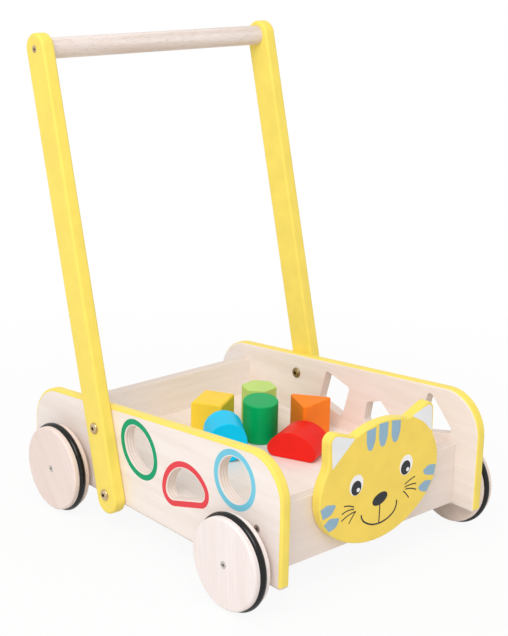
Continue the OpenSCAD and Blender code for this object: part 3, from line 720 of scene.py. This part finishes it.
# %% Painted rings
ring_inner = 1.3
ring_outer = 7.4
film = 0.1
film_sunk = 0.05
ring_paints = {
    "round": ("light_blue", "#78CCE3", "blue_block_paint"),
    "half_round": ("red", "#EA4850", "red_block_paint"),
    "oval": ("green", "#0CA06E", "green_block_paint"),
    "triangle": ("orange", "#F58A45", "orange_block_paint"),
    "hexagon": ("light_green", "#BFDC86", "light_green_block_paint"),
    "square": ("yellow", "#FAD452", "yellow_block_paint")}
for side, holes in panel_holes.items():
    out = outward[side]
    low, high = box_mm(side + "_side_panel")
    face_x = high.x if out > 0 else low.x
    for shape, where in holes.items():
        colour, hex_colour, slot = ring_paints[shape]
        bm = bmesh.new()
        edges = []
        for grow in (ring_inner, ring_outer):
            edges += draw(bm, hole_shapes[shape], grow, hole_spot(*where))
        faces = bmesh.ops.bridge_loops(bm, edges=edges)["faces"]
        bmesh.ops.translate(bm, verts=bm.verts, vec=(0, 0, -out * film_sunk))
        thicken(bm, faces, out * (film + film_sunk))
        place = Matrix.Translation((face_x, 0, 0)) @ on_side
        paint = satin_paint(f"{colour}_ring_paint_masked_and_sprayed", hex_colour, gloss=flat_gloss)
        make_piece(f"{shape}_hole_ring", bm, place, "frame", [paint])

# %% [markdown]
# ## Walls of the tray
# The front and rear walls are plain plywood boards between the panels. Only their top edges are
# eased. Their grain runs from side to side, and their sawn top edges show the veneers.

# %% Walls of the tray
wall_round = 1.5
head_screw_x = (-35, 45)
head_screw_z = 88
# A face is veneer where its normal points this much straight out, and sawn edge elsewhere
veneer_facing = 0.9
# Each wall is its screws for the head, and its pale and deep colours
walls = {
    "front_wall": (head_screw_x, "#F3E6DE", "#EEDFD7"), "rear_wall": ((), "#F8F0EC", "#F3E9E4")}
for node, (screws, pale, deep) in walls.items():
    low, high = box_mm(node)
    wall_face = birch_face(f"birch_veneer_{node}", "X", pale=pale, deep=deep)
    thickness = high.y - low.y
    bm = bmesh.new()
    slab(bm, draw(bm, rectangle(low.x, low.z, high.x, high.z)), thickness)
    top = [e for e in bm.edges if all(v.co.y > high.z - chord_error for v in e.verts)
           and abs(e.verts[0].co.z - e.verts[1].co.z) < chord_error]
    bevel(bm, top, wall_round)
    for face in bm.faces:
        face.material_index = 0 if abs(face.normal.z) > veneer_facing else 1
    pits = [(countersink, spot(x, head_screw_z), -1, screw_cone, screw_cone) for x in screws]
    pierce(bm, thickness, pits=pits, wall_index=1)
    place = Matrix.Translation((0, (low.y + high.y) / 2, 0)) @ on_front
    edge = ply_edge(f"birch_ply_edge_sanded_{node}", "Y", low.y)
    make_piece(node + "_dressed", bm, place, "frame", [wall_face, edge], node)

# %% [markdown]
# ## The cat's head
# The head is a board too: the same oval of four arcs, tilted a little, with two ears. An ear is a
# round tip and two hollows. One hollow runs from the ear's upright side into the cheek, and the
# other runs from its sloping upper edge into the crown. Each hollow's centre is where it touches
# both. The second ear is drawn as the first in a mirror. The rim is yellow, and the face is
# mustard.

# %% Sizes of the head, and its arcs
head_middle = (5, 101.75)
head_tilt = 1.6
oval_tilt = 2.5
head_oval = (170, 128.5, 52)
head_rim = 2
ear_shift = 1.5
ear_tip = (65, 58)
ear_radius = 9.5
ear_slope = 22.5
side_hollow = 20
root_hollow = 8


def turned(arc, turn):
    """An arc turned about the origin."""
    x, y, radius, start, end = arc
    middle = Matrix.Rotation(radians(turn), 2) @ Vector((x, y))
    return (*middle, radius, start + turn, end + turn)


def mirrored(arc):
    """An arc mirrored from left to right."""
    x, y, radius, start, end = arc
    return (-x, y, radius, 180 - end, 180 - start)


def touching(inner, outer):
    """The direction from one arc's centre to another's, in degrees."""
    return degrees(atan2(outer[1] - inner[1], outer[0] - inner[0]))


print("the head's oval is", head_oval[0], "mm wide and", head_oval[1], "mm high")

# %% The head's outline
def ear_arcs(cheek, crown, shift):
    """The ear on the +X side: the hollow at the cheek, the tip, and the hollow at the crown."""
    tip = Vector((ear_tip[0] + shift, ear_tip[1]))
    side_x = tip.x + ear_radius + side_hollow
    side_y = cheek[1] + sqrt((cheek[2] + side_hollow) ** 2 - (side_x - cheek[0]) ** 2)
    along = Vector((cos(radians(ear_slope)), sin(radians(ear_slope))))
    start = tip + (ear_radius + root_hollow) * Vector((-along.y, along.x))
    reach = start - Vector(crown[:2])
    run = sqrt(reach.dot(along) ** 2 - reach.length_squared + (crown[2] + root_hollow) ** 2)
    root = start + (run - reach.dot(along)) * along
    at_cheek = touching(cheek, (side_x, side_y))
    at_crown = touching(crown, root)
    return [(side_x, side_y, side_hollow, at_cheek + 180, 180),
            (*tip, ear_radius, 0, 90 + ear_slope),
            (*root, root_hollow, ear_slope - 90, at_crown - 180)]


def head_outline():
    """The arcs of the oval with its two ears."""
    cheek, crown, far_cheek, chin = [turned(arc, oval_tilt) for arc in oval(*head_oval)]
    ear = ear_arcs(cheek, crown, ear_shift)
    far_ear = [mirrored(arc) for arc in ear_arcs(mirrored(far_cheek), mirrored(crown), -ear_shift)]
    far_ear.reverse()
    return [(*cheek[:4], touching(cheek, ear[0])), *ear,
            (*crown[:3], touching(crown, ear[2]), touching(crown, far_ear[0])), *far_ear,
            (*far_cheek[:3], touching(far_cheek, far_ear[2]), far_cheek[4]), chin]


print("arcs round the head:", len(head_outline()))

# %% The head board
head_low, head_high = box_mm("head_board")
head_thickness = head_high.y - head_low.y
# The flat front is the face, and the rounding and the sides are the rim
face_facing = 0.999
bm = bmesh.new()
slab(bm, draw(bm, head_outline()), head_thickness, head_rim)
for face in bm.faces:
    face.material_index = 1 if face.normal.z > face_facing else 0
middle_y = (head_low.y + head_high.y) / 2
place = Matrix.Translation((0, middle_y, 0)) @ on_front @ spot(*head_middle, head_tilt)
make_piece("head_board_dressed", bm, place, "frame", [yellow_paint, face_paint],
           "head_board")

# %% [markdown]
# ## The face print
# The cat's face is screen printed in four colours: blue stripes, pale ears, white and black. Each
# colour is one piece of thin film on the front of the board, drawn in the board's own millimetres.
# The stripes and ears are outlines with rounded corners, and eyes and nose are scaled circles. A
# line, such as a whisker, is an arc drawn there and back, a line's width apart. The mouth is the
# lower half of an oval.

# %% Tools for the print
face_y = head_low.y
ellipse_sides = 64


def print_shape(bm, arcs, height, grow=0.0, place=Matrix()):
    """A printed shape from the arcs of its outline."""
    before = set(bm.verts)
    faces = bmesh.ops.edgeloop_fill(bm, edges=draw(bm, arcs, grow, place))["faces"]
    made = [v for v in bm.verts if v not in before]
    bmesh.ops.translate(bm, verts=made, vec=(0, 0, -film_sunk))
    thicken(bm, faces, film_sunk + height)


def print_line(bm, path, width, height, place=Matrix()):
    """A printed line along arcs: its outline goes there on one side, and back on the other."""
    back = [(x, y, radius, end, start) for x, y, radius, start, end in reversed(path)]
    print_shape(bm, path + back, height, width / 2, place)


def print_ellipse(bm, middle, half_size, turn, height):
    """A printed ellipse, from its half width and half height."""
    sunk = Matrix.Translation((0, 0, -film_sunk))
    place = sunk @ spot(*middle, turn) @ Matrix.Diagonal((*half_size, 1, 1))
    made = bmesh.ops.create_circle(bm, cap_ends=True, segments=ellipse_sides, radius=1,
                                   matrix=place)
    thicken(bm, made["verts"][0].link_faces[:], film_sunk + height)


def bent(start, end, sag):
    """The arc between two points that bends to the left of its way by a sag."""
    start = Vector(start)
    end = Vector(end)
    chord = end - start
    left = Vector((-chord.y, chord.x)).normalized()
    radius = (chord.length_squared / 4 + sag ** 2) / (2 * sag)
    centre = (start + end) / 2 + left * (sag - radius)
    middle = degrees(atan2(left.y, left.x))
    half = degrees(atan2(chord.length / 2, radius - sag))
    return (*centre, radius, middle + half, middle - half)


print("the face lies at y =", round(face_y, 1), "mm")

# %% Blue stripes and pale ears
# Each stripe on the brow is its middle, the tops of its two sides, and its tip
brow_stripes = [
    (-12.2, 160.8, 162.0, (-12.9, 128.4)), (5.2, 164.2, 164.0, (5.0, 129)),
    (23.3, 163.6, 161.2, (22.6, 129.9))]
brow_half = 6.3
brow_flare = (0.2, 0.3)
brow_shoulder = 149
shoulder_round = 9
brow_tip_round = 4.2
print_corner = 0.5
cheek_stripes = [
    [(-78.6, 92.6, 0.5), (-75.2, 81.7, 0.5), (-63.8, 83.6, 10), (-57.0, 92.8, 1.8), (-70, 96, 9)],
    [(-73.6, 74.9, 0.5), (-66, 66.1, 0.5), (-56, 68.2, 9), (-52.2, 77.4, 1.8), (-66, 80.6, 9)],
    [(87.3, 98.2, 0.5), (76.4, 100.6, 10), (67, 95.6, 2.2), (72, 90, 7), (85.4, 86.8, 0.5)],
    [(82.4, 81.6, 0.5), (71, 84, 10), (61.2, 78.8, 2.2), (66, 73, 7), (75, 70.4, 0.5)]]
inner_ears = [
    [(-64.4, 131.4, 0.8), (-50.2, 143.8, 60), (-34.6, 156.7, 0.8), (-67, 167.8, 6.2)],
    [(77.6, 137.4, 0.8), (76.3, 170, 6.5), (46.2, 161.3, 0.8), (64.7, 151.4, 40)]]


def print_piece(name, bm, paint):
    """Lays a printed colour on the front of the head."""
    place = Matrix.Translation((0, face_y, 0)) @ on_front
    make_piece(name, bm, place, "frame", [paint])


bm = bmesh.new()
for x, left_top, right_top, tip in brow_stripes:
    left = x - brow_half
    right = x + brow_half
    print_shape(bm, rounded(
        (left - brow_flare[0], left_top, print_corner), (left, brow_shoulder, shoulder_round),
        (*tip, brow_tip_round), (right, brow_shoulder, shoulder_round),
        (right + brow_flare[1], right_top, print_corner)), film)
for corners in cheek_stripes:
    print_shape(bm, rounded(*corners), film)
print_piece("face_print_blue", bm, satin_paint("grey_blue_screen_print", "#94B7CE", 0.5))

bm = bmesh.new()
for corners in inner_ears:
    print_shape(bm, rounded(*corners), film)
print_piece("face_print_ears", bm, satin_paint("pale_grey_screen_print", "#F0F2F4", 0.5))

# %% White of the eyes
eye_whites = [(-30.2, 106.3), (41.4, 109.2)]
eye_size = (9.4, 11)
eye_turn = -10
glints = [(-27.5, 100.6), (43.9, 103.9)]
glint_size = (2.2, 2.2)
ink = 0.04
over_white = film + ink
over_pupil = film + 2 * ink

bm = bmesh.new()
for middle in eye_whites:
    print_ellipse(bm, middle, eye_size, eye_turn, film)
for middle in glints:
    print_ellipse(bm, middle, glint_size, 0, over_pupil)
print_piece("face_print_white", bm, satin_paint("white_screen_print", "#FBFAFA", 0.5))

# %% Pupils, nose, mouth and whiskers
pupils = [(-30.2, 103.3), (40.8, 106.5)]
pupil_size = (7, 7.75)
nose_place = (4.7, 82.2)
nose_size = (10.9, 6.4)
nose_turn = 14
mouth_oval = (51.7, 35, 14)
mouth_place = spot(4, 72.6, -4)
mouth_corner = 12
mouth_line = 1.7
lip = ((4.9, 78), (4.6, 55.2), 0.2)
lip_line = 1.5
whisker_line = 1.25
# Each whisker is its two ends, and how far it bends
whiskers = [
    ((-46.6, 88), (-32.3, 83.4), 0.8), ((-49.1, 80.1), (-32.1, 81), 1.4),
    ((-49.4, 72.9), (-29.9, 78), 1.2), ((-38.9, 67.1), (-29.6, 78.1), 0.3),
    ((40.8, 87.7), (56, 92.8), 0.6), ((40.8, 84.5), (58.3, 84.3), 0.9),
    ((42, 82.1), (58.8, 77.2), 1.1), ((39, 80.8), (48.1, 70.9), 0.6)]

bm = bmesh.new()
for middle in pupils:
    print_ellipse(bm, middle, pupil_size, eye_turn, over_white)
print_ellipse(bm, nose_place, nose_size, nose_turn, over_white)
right_end, _, left_end, low_side = oval(*mouth_oval)
smile = [(*left_end[:3], 180 + mouth_corner, left_end[4]), low_side, (*right_end[:4], mouth_corner)]
print_line(bm, smile, mouth_line, over_white, mouth_place)
print_line(bm, [bent(*lip)], lip_line, film)
for whisker in whiskers:
    print_line(bm, [bent(*whisker)], whisker_line, film)
print_piece("face_print_dark", bm, satin_paint("black_screen_print", "#2B2F34", 0.5))

# %% [markdown]
# ## Handle arms
# An arm is a long board with two round ends, painted all over and rounded over as the panels
# are. It leans back. The grip sits in a blind socket on its inner face, with a flush screw on
# the outside, and two bolts go right through it.

# %% Handle arms
arm_width = 33
arm_rim = 3
arm_tail = 5
bolt_shank = 6
bar_low, bar_high = box_mm("handle_bar")
bar_middle = (bar_low + bar_high) / 2
bar_radius = (bar_high.z - bar_low.z) / 2
arm_run = (bar_middle.z - low_bolt.y) / cos(arm_lean)
arm_outline = [(0, 0, arm_width / 2, 0, 180), (0, -arm_run - arm_tail, arm_width / 2, 180, 360)]
bolt_hole = circle(bolt_shank / 2 + seat_play)
bolt_holes = [(bolt_hole, spot(0, rise - arm_run)) for rise in (0, bolt_gap)]
socket = circle(bar_radius + seat_play)
socket_depth = bar_high.x - box_mm("left_handle_arm")[0].x
for side, out in outward.items():
    node = side + "_handle_arm"
    low, high = box_mm(node)
    thickness = high.x - low.x
    bm = bmesh.new()
    slab(bm, draw(bm, arm_outline), thickness, arm_rim)
    pits = [(countersink, Matrix(), out, screw_cone, screw_cone),
            (socket, Matrix(), -out, socket_depth, 0)]
    pierce(bm, thickness, bolt_holes, pits, wall_index=0)
    place = (Matrix.Translation(((low.x + high.x) / 2, bar_middle.y, bar_middle.z))
             @ Matrix.Rotation(-arm_lean, 4, "X") @ on_side)
    make_piece(node + "_dressed", bm, place, "frame", [yellow_paint], node)

# %% [markdown]
# ## Wheels and tyres
# A wheel is turned on a lathe from a solid blank, so it is one profile spun about the axle: a
# countersink for its screw, rounded shoulders, and a groove for the tyre. The grain of each blank
# runs its own way, because nobody lines the wheels up. The tyre is a rubber ring with a round
# section, which is a circle spun about the same axle.

# %% A lathe
spin_steps = 120


def turn_on_lathe(bm, edges):
    """Spins a profile about the X axis and closes it at the poles."""
    verts = dict.fromkeys(v for e in edges for v in e.verts)
    bmesh.ops.spin(bm, geom=[*edges, *verts], cent=(0, 0, 0), axis=(1, 0, 0), angle=2 * pi,
                   steps=spin_steps, use_merge=True)


def sharp(x, y):
    """A sharp corner of a profile, as an arc of no radius."""
    return (x, y, 0, 0, 0)


print("a turned piece has", spin_steps, "faces round it")

# %% Wheels and tyres
wheel_shoulder = 2.5
tyre_section = 8
tyre_proud = 3
axle_socket = 12
# Each wheel is the turn of its grain, and its pale and deep colours
# The front left wheel's warmer colours are painted light: the warm bounce light in the shade under
# it
wheels = {
    "front_right": (4, "#F7ECEA", "#F1E5E1"), "front_left": (40, "#FAE9DC", "#F4DFD2"),
    "rear_right": (38, "#F3E2DB", "#ECD8CF"), "rear_left": (105, "#F7ECE6", "#F0E2D9")}
for corner, (grain, pale, deep) in wheels.items():
    end, side = corner.split("_")
    body = end + "_wheel_set"
    low, high = box_mm(corner + "_wheel")
    half = (high.x - low.x) / 2
    radius = (high.z - low.z) / 2
    ring = radius + tyre_proud - tyre_section / 2
    groove = tyre_section / 2 + seat_play
    groove_lip = degrees(asin((radius - ring) / groove))
    cone = screw_head / 2 + seat_play
    axle_low, axle_high = box_mm(end + "_axle")
    axle_hole = (axle_high.z - axle_low.z) / 2 + seat_play
    profile = [
        sharp(axle_socket - half, 0), sharp(half - screw_cone, 0),
        sharp(half - screw_cone, cone - screw_cone), sharp(half, cone),
        (half - wheel_shoulder, radius - wheel_shoulder, wheel_shoulder, 0, 90),
        (0, ring, groove, groove_lip, -180 - groove_lip),
        (wheel_shoulder - half, radius - wheel_shoulder, wheel_shoulder, 90, 180),
        sharp(-half, axle_hole), sharp(axle_socket - half, axle_hole)]
    half_turn = Matrix.Rotation(0 if outward[side] > 0 else pi, 4, "Z")
    place = Matrix.Translation((low + high) / 2) @ half_turn

    bm = bmesh.new()
    edges = [e for e in draw(bm, profile) if any(v.co.y > chord_error for v in e.verts)]
    turn_on_lathe(bm, edges)
    bmesh.ops.delete(bm, geom=[e for e in bm.edges if not e.link_faces], context="EDGES")
    wood = birch_face(f"wheel_birch_turned_{corner}", "Z", grain, pale, deep, fibre="#DFCCC0")
    make_piece(corner + "_wheel_dressed", bm, place, body, [wood], corner + "_wheel")

    bm = bmesh.new()
    turn_on_lathe(bm, draw(bm, circle(tyre_section / 2), place=Matrix.Translation((0, ring, 0))))
    make_piece(corner + "_tyre_dressed", bm, place, body, [rubber], corner + "_tyre")

# %% [markdown]
# ## Six blocks
# The blocks are sawn from thick strips with the six outlines, sanded round and painted. They lie
# in the tray as a child leaves them: three stand on an end, and three lie on a side.

# %% Six blocks
block_length = 45
block_round = 1.5
block_gap = 0.2
floor_top = box_mm("tray_floor")[1].z
square_rest = square_side / 2 - block_play
round_rest = round_width / 2 - block_play
# Each block is its node, its shape, its paint, where it lies, how far it is turned, and how high
# its outline's middle is when it lies on a side
blocks = {
    "yellow": ("yellow_square_block", "square", "#FFD640", (18, 88.3), 30.2, square_rest),
    "green": ("green_oval_block", "oval", "#00AB5E", (43.1, 33.3), 50.5, None),
    "light_green": ("light_green_hexagon_block", "hexagon", "#C3E07C", (74.4, 71.5), 10, None),
    "orange": ("orange_triangle_block", "triangle", "#FF8824", (88, 1), -23.5, None),
    "red": ("red_half_round_block", "half_round", "#EE241C", (46.2, -28.9), 23.8, -block_play),
    "blue": ("blue_round_block", "round", "#00C8F6", (-22.2, 17.9), 56.5, round_rest)}
for colour, (node, shape, hex_colour, where, turn, lying) in blocks.items():
    bm = bmesh.new()
    slab(bm, draw(bm, block_shapes[shape], -block_play), block_length, block_round)
    height = block_length / 2 if lying is None else lying
    place = Matrix.Translation((0, 0, floor_top + block_gap + height)) @ spot(*where, turn)
    if lying is not None:
        place = place @ on_side
    paint = satin_paint(f"{colour}_block_paint_dipped", hex_colour, gloss=flat_gloss)
    body = colour + "_block"
    make_piece(node + "_dressed", bm, place, body, [paint], node)

# %% [markdown]
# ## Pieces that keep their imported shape
# The floor, grip, axles, washers, screws, bolts and nuts already have the right shape, so they
# only need the right finish. A packed object is never moved, and only its material slot changes.

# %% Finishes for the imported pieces
finishes = {
    "tray_floor": board_face, "handle_bar": beech, "front_axle": beech, "rear_axle": beech,
    "arm_bolts": brass, "arm_nuts": rough_brass_in_painted_shade, "head_board_screws": zinc, "wall_screws": zinc,
    "handle_bar_screws": brass, "front_wheel_screws": zinc, "rear_wheel_screws": zinc,
    "front_axle_washers": zinc, "rear_axle_washers": zinc}
for node, finish in finishes.items():
    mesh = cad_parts[node].data
    mesh.materials.clear()
    mesh.materials.append(finish)
print("finished", len(finishes), "packed pieces")

# %% [markdown]
# ## Camera
# The photograph was taken from the front right corner, a little above the handle, with a short
# telephoto lens. The place and angles were found by lining up known points of the walker.

# %% Camera
camera = bpy.data.objects.new("camera", bpy.data.cameras.new("camera"))
scene.collection.objects.link(camera)
scene.camera = camera
camera.data.lens = 78.365
camera.data.sensor_width = 36
camera_place = (-0.9437, -1.0706, 0.6608)
heading = -41.427
dip = 16.912
roll = 1.149
camera.matrix_world = (
    Matrix.Translation(camera_place) @ Matrix.Rotation(radians(heading), 4, "Z")
    @ Matrix.Rotation(radians(90 - dip), 4, "X") @ Matrix.Rotation(radians(roll), 4, "Z"))
print("camera", [round(v, 3) for v in camera.matrix_world.translation])

# %% [markdown]
# ## Floor and light
# The walker stands on a white sweep in a studio. One big soft lamp is over the photographer's
# left shoulder, and white walls fill the shadows. The floor shows white to the camera, and only a
# share of it takes light, so the walker keeps a faint soft shadow under it. Mirrors and glass see
# the same white, so one function finds the rays of all three.

# %% Rays that see the backdrop
def backdrop_rays(tree):
    """1 on the rays that come from the camera, or from a mirror or glass, and 0 on the rest."""
    rays = add(tree, "LightPath").outputs
    bounced = add(tree, "Math", {0: rays["Is Glossy Ray"], 1: rays["Is Transmission Ray"]},
                  operation="ADD").outputs[0]
    return add(tree, "Math", {0: rays["Is Camera Ray"], 1: bounced},
               operation="ADD", use_clamp=True).outputs[0]


# %% Floor
floor_size = 30
# The share of plain white by the walker, and how far from its middle that rises to the whole
white_share = 0.92
white_from = 0.35
white_to = 0.9
floor_mesh = bpy.data.meshes.new("studio_floor")
bm = bmesh.new()
bmesh.ops.create_grid(bm, x_segments=1, y_segments=1, size=floor_size)
bm.to_mesh(floor_mesh)
bm.free()
studio_floor = bpy.data.objects.new("studio_floor", floor_mesh)
scene.collection.objects.link(studio_floor)

material, tree, place = new_material("white_paper_sweep")
floor_mesh.materials.append(material)
distance = add(tree, "VectorMath", {0: place}, operation="LENGTH").outputs["Value"]
glow = add(tree, "MapRange", {
    "Value": distance, "From Min": white_from, "From Max": white_to,
    "To Min": white_share, "To Max": 1.0}).outputs["Result"]
share = add(tree, "Math", {0: backdrop_rays(tree), 1: glow}, operation="MULTIPLY")
paper = add(tree, "BsdfDiffuse", {"Color": linear("#E8E6E4")})
white = add(tree, "Emission", {"Color": linear("#FFFFFF"), "Strength": 1.0})
both = add(tree, "MixShader", {0: share.outputs[0], 1: paper.outputs[0], 2: white.outputs[0]})
add(tree, "OutputMaterial", {"Surface": both.outputs[0]})
print("floor", 2 * floor_size, "m wide")

# %% Fill light
fill_level = 0.7
world = bpy.data.worlds.new("studio")
scene.world = world
world.use_nodes = True
tree = world.node_tree
tree.nodes.clear()
level = add(tree, "MapRange", {"Value": backdrop_rays(tree), "To Min": fill_level, "To Max": 1.0})
walls_of_light = add(tree, "Background", {
    "Color": linear("#FFFFFF"), "Strength": level.outputs["Result"]})
add(tree, "OutputWorld", {"Surface": walls_of_light.outputs[0]})
print("fill light at", fill_level, "of white")

# %% Key light
key_power = 26.5
key_size = 1.6
key_distance = 2.2
key_direction = Vector((-0.6, -0.36, 0.71)).normalized()
key = bpy.data.objects.new("key_light", bpy.data.lights.new("key_light", "AREA"))
scene.collection.objects.link(key)
key.data.shape = "DISK"
key.data.size = key_size
key.data.energy = key_power
aim = (cad_box[0] + cad_box[1]) / 2
key.location = aim + key_direction * key_distance
key.rotation_euler = key_direction.to_track_quat("Z", "Y").to_euler()
print("key light", key_power, "W")

# %% [markdown]
# ## Finish
# The colours are meant to show as written, so the view transform is Standard.

# %% Finish
scene.view_settings.view_transform = "Standard"
